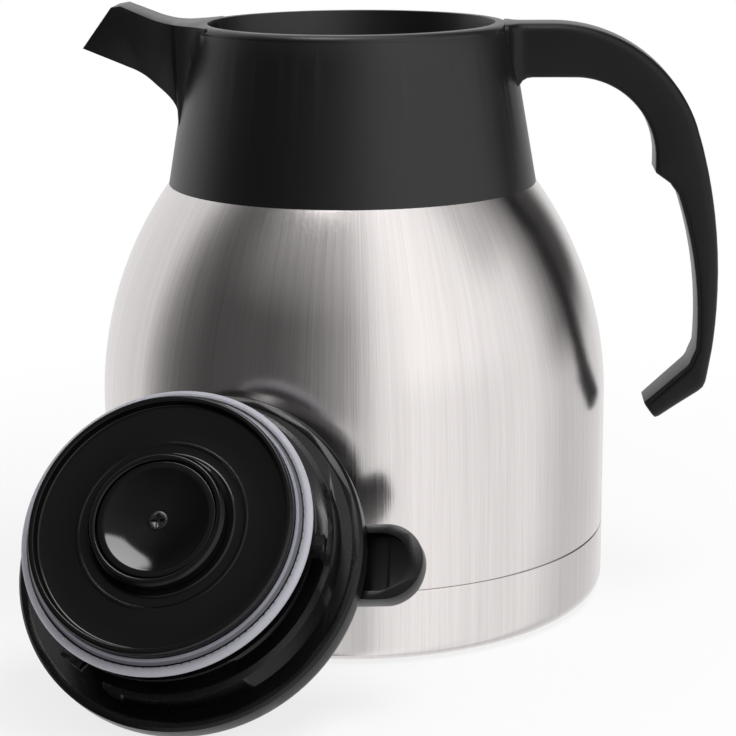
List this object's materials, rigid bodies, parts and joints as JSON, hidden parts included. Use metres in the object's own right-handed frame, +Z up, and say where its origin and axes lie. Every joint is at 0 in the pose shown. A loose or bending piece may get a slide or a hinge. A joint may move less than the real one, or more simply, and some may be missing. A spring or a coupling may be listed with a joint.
{
  "type": "vacuum jug with stopper lid",
  "caption": "Vacuum jug with a double-walled steel body, a moulded spout collar and an open handle; its lift-out stopper lid has a thumb lever that raises a sprung valve.",
  "frame": {"origin": "centre of the jug's foot ring, on the surface it stands on", "axes": "+Z up along the jug's axis, +X towards the handle, -X towards the spout; the lid leans on the -Y side"},
  "size_m": [0.1781, 0.2042, 0.163],
  "materials": {
    "brushed_shell": "upright brushed satin",
    "inner_steel": "plain satin",
    "collar_plastic": "satin black moulding",
    "lid_plastic": "satin black moulding",
    "gloss_plastic": "gloss black moulding",
    "silicone": "translucent pale silicone",
    "fittings_steel": "turned and drawn steel",
    "guide_plastic": "natural moulded plastic"
  },
  "bodies": {
    "jug": {"base_cup": "brushed_shell", "outer_shell": "brushed_shell", "inner_liner": "inner_steel", "neck_ring": "collar_plastic", "neck_gasket": "silicone", "collar": "collar_plastic", "handle": "collar_plastic"},
    "lid": {"plug_body": "lid_plastic", "plug_floor": "gloss_plastic", "stopper_gasket": "silicone", "guide_bush": "guide_plastic", "lid_cover": "lid_plastic", "lever_pin": "fittings_steel", "valve_spring": "fittings_steel"},
    "lever": {"thumb_lever": "lid_plastic"},
    "valve": {"valve_head": "gloss_plastic", "valve_seal": "silicone", "valve_stem": "fittings_steel", "stem_cap": "fittings_steel", "valve_screw": "fittings_steel"}
  },
  "joints": [
    {"name": "lid_lift", "type": "slide", "parent": "jug", "child": "lid", "axis": [0, 0, 1], "range_m": [0, 0.2]},
    {"name": "lever_press", "type": "hinge", "parent": "lid", "child": "lever", "pos_m": [-0.00809, -0.09319, 0.03505], "axis": [-0.0221, -0.6281, -0.7779], "range_deg": [0, 6], "stiffness_Nm_per_rad": 0.4},
    {"name": "valve_lift", "type": "slide", "parent": "lid", "child": "valve", "axis": [0.179, 0.763, -0.6211], "range_m": [0, 0.003], "deforming": ["valve_spring"]}
  ],
  "couplings": [
    {"joint": "valve_lift", "follows": "lever_press", "m_per_rad": 0.0275}
  ]
}
